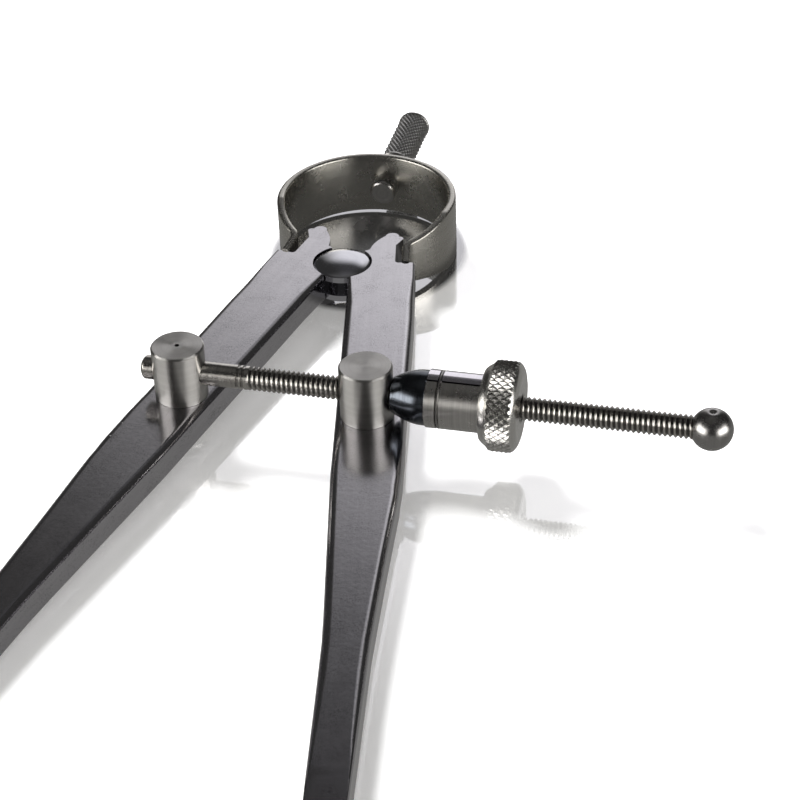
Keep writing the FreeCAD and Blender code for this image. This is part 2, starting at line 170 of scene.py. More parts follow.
def make_screw():
    """Screw rod: domed stub, plain shank, two relief rings and the threaded length, as one turned grid. The
    thread fades in over half a turn where the plain shank ends."""
    stub, ring_floor = 1.75 * MM, 1.6 * MM
    start = -POST_X - POST_R - stub
    shank_end = -POST_X + 9.0 * MM
    thread_start = -POST_X + 10.7 * MM
    end = BALL_X - math.sqrt(BALL_R ** 2 - SCREW_R ** 2)
    cap = dense([(start, 0.0), (start, 1.15 * MM), (start + 0.25 * MM, 1.55 * MM),
                 (start + 0.55 * MM, SCREW_R)], 0.2 * MM)
    shank = dense([(start + 0.56 * MM, SCREW_R), (shank_end, SCREW_R)], 1.0 * MM)
    rings = []
    for k in range(2):
        low = shank_end + (0.1 + 0.8 * k) * MM
        rings += [(low, SCREW_R), (low + 0.08 * MM, ring_floor), (low + 0.37 * MM, ring_floor),
                  (low + 0.45 * MM, SCREW_R)]
    rings.append((thread_start - 0.05 * MM, SCREW_R))
    plain = np.vstack([cap, shank, np.array(rings)])
    rows_per_turn, around = 10, 40
    steps = int(round((end - thread_start) / PITCH * rows_per_turn))
    threaded = np.linspace(thread_start, end, steps + 1)
    angle = np.linspace(0, 2 * np.pi, around, endpoint=False)[None, :]
    cut = thread_radius(threaded[:, None], angle)
    fade = np.clip((threaded - thread_start) / (0.5 * PITCH), 0, 1)[:, None]
    cut = SCREW_R + (cut - SCREW_R) * fade
    place = np.concatenate([plain[:, 0], threaded, [end]])
    radius = np.vstack([np.repeat(plain[:, 1:2], around, 1), cut, np.zeros((1, around))])
    relief = np.clip((radius - ROOT_R) / (SCREW_R - ROOT_R), 0, 1)
    relief[: len(cap)] = 1
    piece = turned("screw_rod", place, radius, SCREW_LINE, "X", relief)
    return smooth(piece, 50)


# ---------------------------------------------------------------- thumb wheel

def make_wheel():
    """Wheel profile turned about the screw. The radius is the smaller of the profile's and of a diamond
    knurl's, so that the knurl runs out ragged on the rounded right corner and on the left bevel."""
    start = 31.864 * MM
    knurl_start, knurl_end, end = start + 1.15 * MM, start + 4.05 * MM, start + 5.6 * MM
    rim, round_off, bevel_end, cut_depth = 6.75 * MM, 2.15 * MM, 6.25 * MM, 0.38 * MM
    turn = np.radians(np.linspace(0, 90, 14))
    corner = np.column_stack([knurl_end + (end - knurl_end) * np.sin(turn),
                              rim - round_off * (1 - np.cos(turn))])
    left = np.array([(start + 0.02 * MM, 3.1 * MM), (start, 5.3 * MM), (start + 0.3 * MM, 5.62 * MM),
                     (knurl_start - 0.2 * MM, 6.05 * MM), (knurl_start, bevel_end)])
    knurled = dense(np.vstack([(knurl_start, bevel_end), (knurl_start + 0.4 * MM, rim), corner[:7]]),
                    0.07 * MM)
    face = np.vstack([corner[7:], (end, 2.3 * MM), (end - 0.2 * MM, 2.06 * MM), (start + 4.4 * MM, 2.05 * MM),
                      (start + 4.4 * MM, 3.1 * MM)])
    places = np.vstack([dense(left, 0.4 * MM)[:-1], knurled, dense(face, 0.8 * MM)])
    count, step, columns_per_groove = 38, 1.33 * MM, 24
    around = count * columns_per_groove
    angle = np.linspace(0, 2 * np.pi, around, endpoint=False)[None, :]
    x = places[:, :1]
    turns = count * angle / (2 * np.pi)
    height = diamond(turns + (x - start) / step, turns - (x - start) / step)
    knurl = rim - cut_depth * (1 - height)
    cut_here = (x > start + 0.9 * MM) & (places[:, 1:2] > 4.5 * MM) & (knurl < places[:, 1:2])
    radius = np.where(cut_here, knurl, places[:, 1:2])
    relief = np.where(cut_here, 0.35 + 0.65 * height, 1.0)
    piece = turned("knurled_wheel", places[:, 0], radius, SCREW_LINE, "X", relief, ring=True)
    return smooth(piece, 22)


# ---------------------------------------------------------------- ball

def make_ball():
    """Ball on the screw's end: a sphere turned about its upright line, with a small stake mark sunk in
    the top as a bell curve over the polar angle."""
    mark_depth, mark_spread = 0.34 * MM, 0.15
    polar = np.radians(np.concatenate([np.linspace(0, 24, 24), np.linspace(27, 180, 60)]))
    size = BALL_R - mark_depth * np.exp(-(polar / mark_spread) ** 2)
    radius = np.repeat((size * np.sin(polar))[:, None], 96, 1)
    return smooth(turned("end_ball", SCREW_Z + size * np.cos(polar), radius, BALL_CENTRE, "Z"), 80)


# ---------------------------------------------------------------- finger grip

def make_finger_grip():
    """Rivet end, flange, neck and grip turned about +Y, with a fine diamond knurl on the grip."""
    grooves, lead, cut_depth = 24, 1.3 * MM, 0.22 * MM
    seat = BOW_MIDDLE + BOW_R
    inside = seat - 4.7 * MM
    neck = seat + 1.4 * MM
    grip = neck + 3.2 * MM
    end = grip + 17.0 * MM
    profile = [(inside, 0.0), (inside, 1.8 * MM), (inside + 0.15 * MM, 2.05 * MM),
               (inside + 0.4 * MM, 2.2 * MM), (seat - 0.15 * MM, 2.2 * MM), (seat - 0.1 * MM, 3.5 * MM),
               (neck - 0.1 * MM, 3.6 * MM), (neck, 3.5 * MM), (neck + 0.6 * MM, 2.1 * MM),
               (grip, 2.1 * MM), (grip + 0.6 * MM, 2.9 * MM), (end - 0.6 * MM, 2.9 * MM),
               (end - 0.2 * MM, 2.6 * MM), (end, 2.2 * MM), (end, 0.0)]
    places = dense(profile, 0.12 * MM)
    columns_per_groove = 12
    around = grooves * columns_per_groove
    angle = np.linspace(0, 2 * np.pi, around, endpoint=False)[None, :]
    y = places[:, :1]
    turns = grooves * angle / (2 * np.pi)
    plain_end, run_out = 0.9 * MM, 0.2 * MM
    inside_knurl = np.clip(np.minimum(y - grip - plain_end, end - plain_end - y) / run_out, 0, 1)
    sunk = (1 - diamond(turns + (y - grip) / lead, turns - (y - grip) / lead)) * inside_knurl
    radius = places[:, 1:2] - cut_depth * sunk
    piece = turned("knurled_grip", places[:, 0], radius, GRIP_LINE, "Y", 1 - sunk)
    return smooth(piece, 40)


# ---------------------------------------------------------------- thrust cup

def make_cup():
    """Bell of the thrust cup turned about the screw: flat end with a rounded edge against the post, a flank
    that swells in a slight curve to the rim, and the cone seat inside."""
    end, rim, mouth = POST_X + POST_R + 0.02 * MM, POST_X + 8.5 * MM, POST_X + 9.37 * MM
    bore, throat = 1.88 * MM, POST_X + 6.77 * MM
    end_r, round_r, swell, fullness = 2.5 * MM, 0.25 * MM, 1.33 * MM, 1.75
    turn = np.radians(np.linspace(0, 90, 8))
    edge = np.column_stack([end + round_r * (1 - np.cos(turn)), end_r + round_r * np.sin(turn)])
    share = np.linspace(0, 1, 24)[1:]
    flank = np.column_stack([edge[-1, 0] + (rim - edge[-1, 0]) * share,
                             end_r + round_r + swell * (1 - (1 - share) ** fullness)])
    inside = np.array([(mouth - 0.08 * MM, 4.1 * MM), (mouth, 4.03 * MM), (mouth, 3.3 * MM),
                       (throat, 2.4 * MM), (throat, bore)])
    places = dense(np.vstack([[(end, bore)], edge, flank, inside]), 0.25 * MM)
    radius = np.repeat(places[:, 1:2], 96, 1)
    return smooth(turned("cup_bell", places[:, 0], radius, SCREW_LINE, "X", ring=True), 40)


# ---------------------------------------------------------------- fulcrum stud

def make_stud():
    """Spool turned about Z: a stem and two heads with a bevelled rim. Towards the middle each top rises by
    the crown times one less the square of the share of the radius, made a little fuller in between. The
    lower half mirrors the upper one."""
    head, stem, thick, crown, bevel = 4.65 * MM, 2.6 * MM, 1.3 * MM, 0.7 * MM, 0.22 * MM
    edge, top = head - bevel, LEG_TOP - 0.12 * MM
    share = np.linspace(0, 1, 22)
    dome = np.column_stack([top + crown * (1 - share ** 2) * (1 + 0.3 * share ** 2), edge * share])
    upper = np.vstack([dome, (top - bevel, head), (LEG_TOP - thick, head), (LEG_TOP - thick, stem)])
    lower = upper[::-1] * (-1, 1) + (2 * LEG_MIDDLE, 0)
    places = np.vstack([upper, lower])
    radius = np.repeat(places[:, 1:2], 128, 1)
    return smooth(turned("stud_spool", places[:, 0], radius, STUD_LINE, "Z"), 30)


# ---------------------------------------------------------------- legs

# In millimetres below the stud: where a leg is cut across, how far each edge is drawn in at some places,
# and the share of the wider rounding there
LEG_STATIONS = (5, 8, 12, 17, 24, 32, 39, 45, 49, 53, 56, 58, 60, 62, 64.5, 67, 71, 75, 79, 83, 87, 92, 98,
                104, 110, 116, 122, 128, 134)
OUTER_TAPER = ((17, 45, 53, 58, 62, 67, 75, 85, 92, 134), (0, 0.72, 0.56, 0.3, 0.18, 0.3, 0.5, 0.66, 0.75, 0))
INNER_TAPER = ((57, 87, 92, 134), (0, 0.78, 0.85, 0))
ROUNDING = ((5, 12, 100, 114), (0, 1, 1, 0))


def make_leg(side):
    """Leg with the solid's own faces, cut across at stations along it. In the leg's frame each point keeps
    its place along y. Across, it moves in straight shares between five marks: the inner edge, the
    rounding's end, the unmoved middle part, the other rounding's end and the outer edge. So the edges
    follow the photo's taper and their roundings get twice as wide. Over z the roundings get deeper in the
    same way."""
    same_point, flat_face, on_cut = 1e-7, 5e-7, 0.002 * MM
    name = "leg_right" if side > 0 else "leg_left"
    along = Vector((-side * math.sin(REST), math.cos(REST), 0))
    stations = -np.array(LEG_STATIONS) * MM
    work = bmesh.new()
    work.from_mesh(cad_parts[name].data)
    bmesh.ops.remove_doubles(work, verts=work.verts[:], dist=same_point)
    for station in stations:
        bmesh.ops.bisect_plane(work, geom=work.verts[:] + work.edges[:] + work.faces[:],
                               dist=same_point, plane_co=along * float(station), plane_no=along)
    bmesh.ops.dissolve_degenerate(work, dist=flat_face, edges=work.edges[:])
    mesh = bpy.data.meshes.new("tapered_" + name)
    work.to_mesh(mesh)
    work.free()
    place = np.zeros(len(mesh.vertices) * 3, np.float32)
    mesh.vertices.foreach_get("co", place)
    world = place.reshape(-1, 3).astype(float)
    c, s = math.cos(REST), math.sin(REST)
    x = side * world[:, 0] * c + world[:, 1] * s
    y = -side * world[:, 0] * s + world[:, 1] * c
    z = world[:, 2]
    near = np.abs(y[:, None] - stations[None, :]) < on_cut
    outer = np.interp(-y, -stations, np.where(near, x[:, None], -1).max(0))
    inner = np.full_like(y, LEG_INNER)
    width = outer - inner
    outer_in = np.interp(-y / MM, *OUTER_TAPER) * MM
    inner_in = np.interp(-y / MM, *INNER_TAPER) * MM
    fade = np.interp(-y / MM, *ROUNDING)
    old_r, new_r, new_depth = 0.6 * MM, (0.6 + 0.65 * fade) * MM, (0.6 + 0.4 * fade) * MM
    furthest, share_of_width = 2.4 * MM, 0.45
    still = np.minimum(furthest, share_of_width * width)

    def eased(distance, shift):
        """Distance from an edge after the edge has moved in by shift and its rounding has widened."""
        within = shift + distance * new_r / old_r
        beyond = shift + new_r + (distance - old_r) * (still - shift - new_r) / (still - old_r)
        return np.where(distance < old_r, within, np.where(distance < still, beyond, distance))

    from_inner, from_outer = x - inner, outer - x
    moved = np.where(from_inner < from_outer, inner + eased(from_inner, inner_in),
                     outer - eased(from_outer, outer_in))
    beyond_head = (y < stations[0]) & (y > stations[-1])
    x = np.where(beyond_head, moved, x)
    half = (LEG_TOP - LEG_BOTTOM) / 2
    depth = half - np.abs(z - LEG_MIDDLE)
    deeper = np.where(depth < old_r, depth * new_depth / old_r,
                      new_depth + (depth - old_r) * (half - new_depth) / (half - old_r))
    z = np.where(beyond_head & (depth >= 0), LEG_MIDDLE + np.sign(z - LEG_MIDDLE) * (half - deeper), z)
    back = np.stack([side * (x * c - y * s), x * s + y * c, z], -1)
    mesh.vertices.foreach_set("co", back.reshape(-1).astype(np.float32))
    for old in ("custom_normal", "sharp_edge", "sharp_face"):
        if old in mesh.attributes:
            mesh.attributes.remove(mesh.attributes[old])
    mesh.update()
    piece = bpy.data.objects.new("tapered_" + name, mesh)
    bpy.context.scene.collection.objects.link(piece)
    flat = piece.modifiers.new("flat_faces", "WEIGHTED_NORMAL")
    flat.keep_sharp = True
    return smooth(piece, 32)


# ---------------------------------------------------------------- bow spring

def bow_path(count_ring=90, count_bend=14, count_tongue=6):
    """Plan of the right half of the bow, from the tongue's end to the middle of the back: a straight tongue
    along the leg, a reverse bend and a circular ring. Gives the outer and inner face as (x, y) arrays."""
    thick, bend_r = 1.3 * MM, 1.6 * MM
    head_width, recess_from_outer, recess_to_tongue = 11.1 * MM, 3.5 * MM, 1.1 * MM
    inner_x = LEG_INNER + head_width - recess_from_outer + recess_to_tongue
    outer_x = inner_x + thick
    end_y = -0.4 * MM
    cx, cy = BOW_MIDDLE * math.sin(REST), BOW_MIDDLE * math.cos(REST)
    bx = outer_x + bend_r
    by = cy - math.sqrt((BOW_R + bend_r) ** 2 - (bx - cx) ** 2)
    away = math.atan2(by - cy, bx - cx)
    back = math.pi / 2 - REST
    y = np.linspace(end_y, by, count_tongue)
    outer = [np.stack([np.full_like(y, outer_x), y], 1)]
    inner = [np.stack([np.full_like(y, inner_x), y], 1)]
    turn = np.linspace(math.pi, away + math.pi, count_bend + 1)[1:]
    outer.append(np.stack([bx + bend_r * np.cos(turn), by + bend_r * np.sin(turn)], 1))
    inner.append(np.stack([bx + (bend_r + thick) * np.cos(turn), by + (bend_r + thick) * np.sin(turn)], 1))
    turn = np.linspace(away, back, count_ring + 1)[1:]
    outer.append(np.stack([cx + BOW_R * np.cos(turn), cy + BOW_R * np.sin(turn)], 1))
    inner.append(np.stack([cx + (BOW_R - thick) * np.cos(turn), cy + (BOW_R - thick) * np.sin(turn)], 1))
    rotate = np.array([[math.cos(REST), math.sin(REST)], [-math.sin(REST), math.cos(REST)]])
    return np.vstack(outer) @ rotate, np.vstack(inner) @ rotate


def make_bow_half(side):
    """Half of the bow: a rectangle with rounded edges carried along the plan. Each edge is a quarter ellipse
    over the thickness. The upper and lower edges run level on the ring and slope to the narrow tongue, in a
    straight line over y."""
    outer, inner = bow_path()
    half_ring, half_tongue = 5.5 * MM, 2.35 * MM
    across_ease, up_ease = 0.55 * MM, 0.32 * MM
    taper_start, taper_end = BOW_MIDDLE - BOW_R * math.cos(math.radians(78)), -0.5 * MM
    share = np.clip((taper_start - (outer[:, 1] + inner[:, 1]) / 2) / (taper_start - taper_end), 0, 1)
    half = half_ring + (half_tongue - half_ring) * share
    across = (inner - outer) / np.linalg.norm(inner - outer, axis=1)[:, None]
    turn = np.radians(np.linspace(0, 90, 6))
    loop = []
    for base, way, level, order in ((outer, 1, 1, 1), (inner, -1, 1, -1),
                                    (inner, -1, -1, 1), (outer, 1, -1, -1)):
        for t in turn[::order]:
            shift, drop = across_ease * (1 - np.cos(t)), up_ease * (1 - np.sin(t))
            loop.append(np.column_stack([base + way * across * shift, LEG_MIDDLE + level * (half - drop)]))
    points = np.stack(loop, 1)
    ends = points.mean(1, keepdims=True)[[0, -1]]
    count = points.shape[1]
    points = np.concatenate([np.repeat(ends[:1], count, 1), points, np.repeat(ends[1:], count, 1)])
    points = points * np.array([side, 1, 1])
    return smooth(sheet_mesh("bow_right" if side > 0 else "bow_left", points, close_v=True), 40)


# ---------------------------------------------------------------- materials

class Nodes:
    """A material's node tree, with short calls to add nodes and join their sockets."""

    def __init__(self, tree):
        self.tree = tree

    def add(self, kind, inputs=None, **settings):
        node = self.tree.nodes.new(kind)
        for key, value in settings.items():
            setattr(node, key, value)
        for key, value in (inputs or {}).items():
            if isinstance(value, bpy.types.NodeSocket):
                self.tree.links.new(value, node.inputs[key])
            else:
                node.inputs[key].default_value = value
        return node

    def math(self, operation, *values):
        node = self.add("ShaderNodeMath", operation=operation)
        for k, value in enumerate(values):
            if isinstance(value, bpy.types.NodeSocket):
                self.tree.links.new(value, node.inputs[k])
            else:
                node.inputs[k].default_value = value
        return node.outputs[0]

    def mix(self, share, a, b):
        node = self.add("ShaderNodeMix", data_type="RGBA")
        for key, value in ((0, share), (6, a), (7, b)):
            if isinstance(value, bpy.types.NodeSocket):
                self.tree.links.new(value, node.inputs[key])
            else:
                node.inputs[key].default_value = value
        return node.outputs[2]

    def ramp(self, value, start, end, low=0.0, high=1.0, eased=False):
        """Carries the value from start and end to low and high, in a straight line or eased at both ends."""
        kind = "SMOOTHSTEP" if eased else "LINEAR"
        return self.add("ShaderNodeMapRange", {0: value, 1: start, 2: end, 3: low, 4: high},
                        interpolation_type=kind).outputs[0]


def group(name, inputs, outputs):
    """Empty shader node group with named inputs (name: (type, value)) and outputs (name: type)."""
    tree = bpy.data.node_groups.new(name, "ShaderNodeTree")
    for key, (kind, value) in inputs.items():
        socket = tree.interface.new_socket(key, in_out="INPUT", socket_type=kind)
        if value is not None:
            socket.default_value = value
    for key, kind in outputs.items():
        tree.interface.new_socket(key, in_out="OUTPUT", socket_type=kind)
    nodes = Nodes(tree)
    return nodes, nodes.add("NodeGroupInput"), nodes.add("NodeGroupOutput")


def make_machining_group():
    """Machining marks: fine streaks along one direction, worked out as noise on stretched coordinates.
    Gives the streaks, a height for bump and a mask of faint handling wear."""
    n, gin, gout = group("machining_marks",
                         {"Coordinates": ("NodeSocketVector", None), "Grain": ("NodeSocketFloat", 1.0)},
                         {"Streak": "NodeSocketFloat", "Height": "NodeSocketFloat",
                          "Wear": "NodeSocketFloat"})
    across = gin.outputs["Coordinates"]
    where = n.add("ShaderNodeTexCoord").outputs["Object"]
    fine = n.add("ShaderNodeTexNoise", {"Vector": across, "Scale": 1.0, "Detail": 3.0, "Roughness": 0.7})
    broad = n.add("ShaderNodeTexNoise", {"Vector": across, "Scale": 0.13, "Detail": 2.0})
    wear = n.add("ShaderNodeTexNoise", {"Vector": where, "Scale": 240.0, "Detail": 4.0, "Roughness": 0.65})
    height = n.math("MULTIPLY", n.math("SUBTRACT", fine.outputs[0], 0.5), gin.outputs["Grain"])
    streak = n.math("ADD", n.math("MULTIPLY", fine.outputs[0], 0.5),
                    n.math("MULTIPLY", broad.outputs[0], 0.5))
    n.tree.links.new(streak, gout.inputs["Streak"])
    n.tree.links.new(height, gout.inputs["Height"])
    n.tree.links.new(wear.outputs[0], gout.inputs["Wear"])
    return n.tree


def make_groove_shade_group():
    """Painted shade in cut grooves: reads the relief kept on the points and gives a share that is 1 on crests
    and falls in the grooves, broken up by noise. The colour darkened by this share stands in for shade in the
    grooves."""
    n, gin, gout = group("groove_grime", {"Depth": ("NodeSocketFloat", 1.0)}, {"Unshaded": "NodeSocketFloat"})
    relief = n.add("ShaderNodeAttribute", attribute_name="relief")
    where = n.add("ShaderNodeTexCoord")
    blotch = n.add("ShaderNodeTexNoise", {"Vector": where.outputs["Object"], "Scale": 900.0, "Detail": 2.0})
    wobble = n.math("MULTIPLY", n.math("SUBTRACT", blotch.outputs[0], 0.5), 0.35)
    level = n.ramp(n.math("ADD", relief.outputs["Fac"], wobble), 0.0, 0.75)
    # Painted shade: the share falls in the grooves, so the colour darkens where shade would fall
    shaded = n.math("MULTIPLY", n.math("SUBTRACT", 1.0, level), gin.outputs["Depth"])
    unshaded = n.math("SUBTRACT", 1.0, shaded)
    n.tree.links.new(unshaded, gout.inputs["Unshaded"])
    return n.tree


def make_fleck_group():
    """Tiny spots where fine noise passes a level, gathered by broad noise, and the slight unevenness that
    polishing leaves."""
    n, gin, gout = group("fine_flecks", {"Fineness": ("NodeSocketFloat", 1.0)},
                         {"Spot": "NodeSocketFloat", "Peel": "NodeSocketFloat"})
    where = n.add("ShaderNodeTexCoord").outputs["Object"]
    fine = n.add("ShaderNodeTexNoise", {"Vector": where, "Detail": 1.0,
                                        "Scale": n.math("MULTIPLY", gin.outputs["Fineness"], 5200.0)})
    broad = n.add("ShaderNodeTexNoise", {"Vector": where, "Scale": 260.0, "Detail": 3.0})
    peel = n.add("ShaderNodeTexNoise", {"Vector": where, "Scale": 1400.0, "Detail": 1.0})
    level = n.math("ADD", fine.outputs[0], n.math("MULTIPLY", broad.outputs[0], 0.5))
    n.tree.links.new(n.ramp(level, 0.84, 0.98), gout.inputs["Spot"])
    n.tree.links.new(n.math("SUBTRACT", peel.outputs[0], 0.5), gout.inputs["Peel"])
    return n.tree


MARKS = make_machining_group()
GROOVE_SHADE_GROUP = make_groove_shade_group()
FLECKS = make_fleck_group()


def from_axis(n, centre):
    """Object coordinates measured from the centre."""
    where = n.add("ShaderNodeTexCoord").outputs["Object"]
    return n.add("ShaderNodeVectorMath", {0: where, 1: centre}, operation="SUBTRACT").outputs[0]


def turned_marks(centre, axis, fineness=9000.0):
    """Coordinates that change only with distance from the axis line and place along it, so that noise on
    them makes rings round the axis."""
    def build(n):
        parts = n.add("ShaderNodeSeparateXYZ", {0: from_axis(n, centre)})
        x, y, z = parts.outputs
        along, a, b = {"X": (x, y, z), "Y": (y, x, z), "Z": (z, x, y)}[axis]
        far = n.math("SQRT", n.math("ADD", n.math("MULTIPLY", a, a), n.math("MULTIPLY", b, b)))
        return n.add("ShaderNodeCombineXYZ", {0: n.math("MULTIPLY", along, fineness),
                                              1: n.math("MULTIPLY", far, fineness)}).outputs[0]
    return build


def straight_marks(scale, turn=0.0):
    """Object coordinates turned about Z and then stretched by scale, so that noise on them makes streaks."""
    def build(n):
        where = n.add("ShaderNodeTexCoord").outputs["Object"]
        lined_up = n.add("ShaderNodeVectorRotate", {"Vector": where, "Angle": turn},
                         rotation_type="Z_AXIS").outputs[0]
        return n.add("ShaderNodeVectorMath", {0: lined_up, 1: scale}, operation="MULTIPLY").outputs[0]
    return build


def across_turning(centre, axis):
    """Direction across turned marks at each point: the surface normal crossed with the way round the axis."""
    def build(n):
        line = {"X": (1, 0, 0), "Y": (0, 1, 0), "Z": (0, 0, 1)}[axis]
        around = n.add("ShaderNodeVectorMath", {0: line, 1: from_axis(n, centre)}, operation="CROSS_PRODUCT")
        normal = n.add("ShaderNodeNewGeometry")
        crossed = n.add("ShaderNodeVectorMath", {0: normal.outputs["Normal"], 1: around.outputs[0]},
                        operation="CROSS_PRODUCT")
        return n.add("ShaderNodeVectorMath", {0: crossed.outputs[0]}, operation="NORMALIZE").outputs[0]
    return build


def upright(n):
    """Direction across the bow's rolling marks, a little off the vertical so that it has a meaning on
    the rims."""
    return n.add("ShaderNodeCombineXYZ", {0: 0.06, 1: 0.04, 2: 1.0}).outputs[0]


GROOVE_SHADE_TONE, FLECK_SHADE = 0.16, 0.35    # how much of a metal's colour is left in the painted shade of grooves and in a fleck


def metal(name, base, dark, rough, grain, marks_on, anisotropic=0.0, spread=0.08, tangent=None, grime=0.0,
          flecks=0.0, peel=0.0):
    """Worked metal: the marks move the colour between dark and base, wear moves the roughness by spread,
    painted shade darkens the grooves of cut pieces, flecks are tiny darker spots and peel is a slight
    unevenness."""
    material = bpy.data.materials.new(name)
    material.use_nodes = True
    material.node_tree.nodes.clear()
    n = Nodes(material.node_tree)
    marks = n.add("ShaderNodeGroup", node_tree=MARKS)
    n.tree.links.new(marks_on(n), marks.inputs["Coordinates"])
    marks.inputs["Grain"].default_value = grain
    colour = n.mix(n.ramp(marks.outputs["Streak"], 0.3, 0.7), (*dark, 1), (*base, 1))
    if grime:
        unshaded = n.add("ShaderNodeGroup", node_tree=GROOVE_SHADE_GROUP)
        unshaded.inputs["Depth"].default_value = grime
        # Painted shade: the colour goes towards a dark share of itself in the grooves
        colour = n.mix(unshaded.outputs[0], tuple(GROOVE_SHADE_TONE * c for c in base) + (1,), colour)
    height = marks.outputs["Height"]
    if flecks:
        spots = n.add("ShaderNodeGroup", node_tree=FLECKS)
        colour = n.mix(n.math("MULTIPLY", spots.outputs["Spot"], flecks), colour,
                       tuple(FLECK_SHADE * c for c in base) + (1,))
        height = n.math("ADD", height, n.math("MULTIPLY", spots.outputs["Peel"], peel))
    roughness = n.math("ADD", rough - spread / 2, n.math("MULTIPLY", marks.outputs["Wear"], spread))
    bumped = n.add("ShaderNodeBump", {"Strength": 0.6, "Distance": 0.00002, "Height": height})
    shader = n.add("ShaderNodeBsdfPrincipled", {"Base Color": colour, "Metallic": 1.0, "Roughness": roughness,
                                                "Normal": bumped.outputs[0], "Anisotropic": anisotropic})
    if tangent is not None:
        n.tree.links.new(tangent(n), shader.inputs["Tangent"])
    n.add("ShaderNodeOutputMaterial", {"Surface": shader.outputs[0]})
    return material


def turned_metal(name, base, dark, rough, centre, axis, anisotropic=0.0, grain=1.0, **more):
    """Metal whose marks run round an axis, with its sheen across them."""
    return metal(name, base, dark, rough, grain, turned_marks(centre, axis), anisotropic,
                 tangent=across_turning(centre, axis), **more)


# Colour, darker colour and roughness that more than one piece has; the legs' grain comes last
POST_STEEL = ((0.56, 0.55, 0.53), (0.43, 0.42, 0.405), 0.32)
WASHER_STEEL = ((0.56, 0.55, 0.53), (0.42, 0.41, 0.40), 0.28)
LEG_STEEL = ((0.47, 0.46, 0.48), (0.42, 0.41, 0.43), 0.16, 0.25)
LEG_GRINDING = (9000, 350, 9000)
BOW_ROLLING = (300, 300, 9000)
materials = {
    "post_left": turned_metal("left_post_steel", *POST_STEEL, LEFT_POST, "Z", 0.93),
    "post_right": turned_metal("right_post_steel", *POST_STEEL, RIGHT_POST, "Z", 0.93),
    "brushed_half": turned_metal("brushed_nut_steel", (0.60, 0.585, 0.56), (0.36, 0.35, 0.335), 0.28,
                                 SCREW_LINE, "X", 0.75),
    "smooth_half": turned_metal("lilac_nut_steel", (0.66, 0.64, 0.68), (0.58, 0.56, 0.60), 0.2,
                                SCREW_LINE, "X", 0.6, grain=0.4),
    "wheel": turned_metal("wheel_steel", (0.66, 0.65, 0.62), (0.52, 0.51, 0.49), 0.24,
                          SCREW_LINE, "X", 0.3, grime=0.75),
    "screw": turned_metal("cut_thread_steel", (0.53, 0.51, 0.48), (0.36, 0.345, 0.325), 0.23,
                          SCREW_LINE, "X", 0.6, grime=0.85),
    "grip": turned_metal("grip_steel", (0.56, 0.55, 0.53), (0.42, 0.41, 0.40), 0.28,
                         GRIP_LINE, "Y", 0.3, grime=0.8),
    "ball": turned_metal("ball_steel", (0.36, 0.35, 0.34), (0.29, 0.285, 0.28), 0.27,
                         BALL_CENTRE, "X", grain=0.6),
    "stud": turned_metal("polished_stud_steel", (0.50, 0.50, 0.53), (0.44, 0.44, 0.47), 0.12,
                         STUD_LINE, "Z", 0.0, grain=0.25),
    "washer_left": turned_metal("left_washer_steel", *WASHER_STEEL, LEFT_POST, "Z"),
    "washer_right": turned_metal("right_washer_steel", *WASHER_STEEL, RIGHT_POST, "Z"),
    "cup": turned_metal("blued_cup_steel", (0.095, 0.105, 0.12), (0.055, 0.06, 0.07), 0.2,
                        SCREW_LINE, "X", 0.5, grain=0.6),
    "ring": turned_metal("nut_wire", (0.34, 0.33, 0.32), (0.22, 0.215, 0.21), 0.28,
                         SCREW_LINE, "X", grain=0.5),
    "leg_right": metal("ground_leg_steel_right", *LEG_STEEL, straight_marks(LEG_GRINDING, -REST),
                       flecks=0.5, peel=0.4),
    "leg_left": metal("ground_leg_steel_left", *LEG_STEEL, straight_marks(LEG_GRINDING, REST),
                      flecks=0.5, peel=0.4),
    "bow": metal("bow_spring_steel", (0.47, 0.455, 0.42), (0.37, 0.36, 0.33), 0.27, 0.12,
                 straight_marks(BOW_ROLLING), 0.75, tangent=upright),
}


def finish(piece, key):
    piece.data.materials.clear()
    piece.data.materials.append(materials[key])


def paint_node(node, key):
    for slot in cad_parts[node].material_slots:
        slot.material = materials[key]


# ---------------------------------------------------------------- pieces on their bodies

screw = make_screw()
wheel = make_wheel()
grip = make_finger_grip()
cup = make_cup()
ball = make_ball()
stud = make_stud()
leg_left, leg_right = make_leg(-1), make_leg(1)
bow_left, bow_right = make_bow_half(-1), make_bow_half(1)
for piece, key, body, slot in ((screw, "screw", "screw_and_left_post", "thread_steel"),
                               (wheel, "wheel", "nut", "knurled_steel"),
                               (grip, "grip", "bow", "knurled_steel"), (cup, "cup", "cup", "blued_steel"),
                               (ball, "ball", "screw_and_left_post", "satin_steel"),
                               (stud, "stud", "bow", "bright_steel"),
                               (leg_left, "leg_left", "left_leg", "polished_leg"),
                               (leg_right, "leg_right", "right_leg", "polished_leg")):
    finish(piece, key)
    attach(piece, body)
for piece in (bow_left, bow_right):
    finish(piece, "bow")
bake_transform(bow_right)
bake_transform(bow_left)
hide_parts("adjusting_screw")
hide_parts("thumb_wheel")
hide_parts("finger_grip")
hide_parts("thrust_cup")
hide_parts("screw_ball")
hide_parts("fulcrum_stud")
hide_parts("leg_left")
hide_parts("leg_right")
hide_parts("bow_spring")
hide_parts("bow_spring")

for node, key in (("post_left", "post_left"), ("post_right", "post_right"),
                  ("post_washer_left", "washer_left"), ("post_washer_right", "washer_right"),
                  ("screw_pin", "washer_left"), ("half_nut_front", "smooth_half"),
                  ("half_nut_back", "brushed_half"), ("nut_ring_spring", "ring")):
    paint_node(node, key)


# ---------------------------------------------------------------- table, light and camera

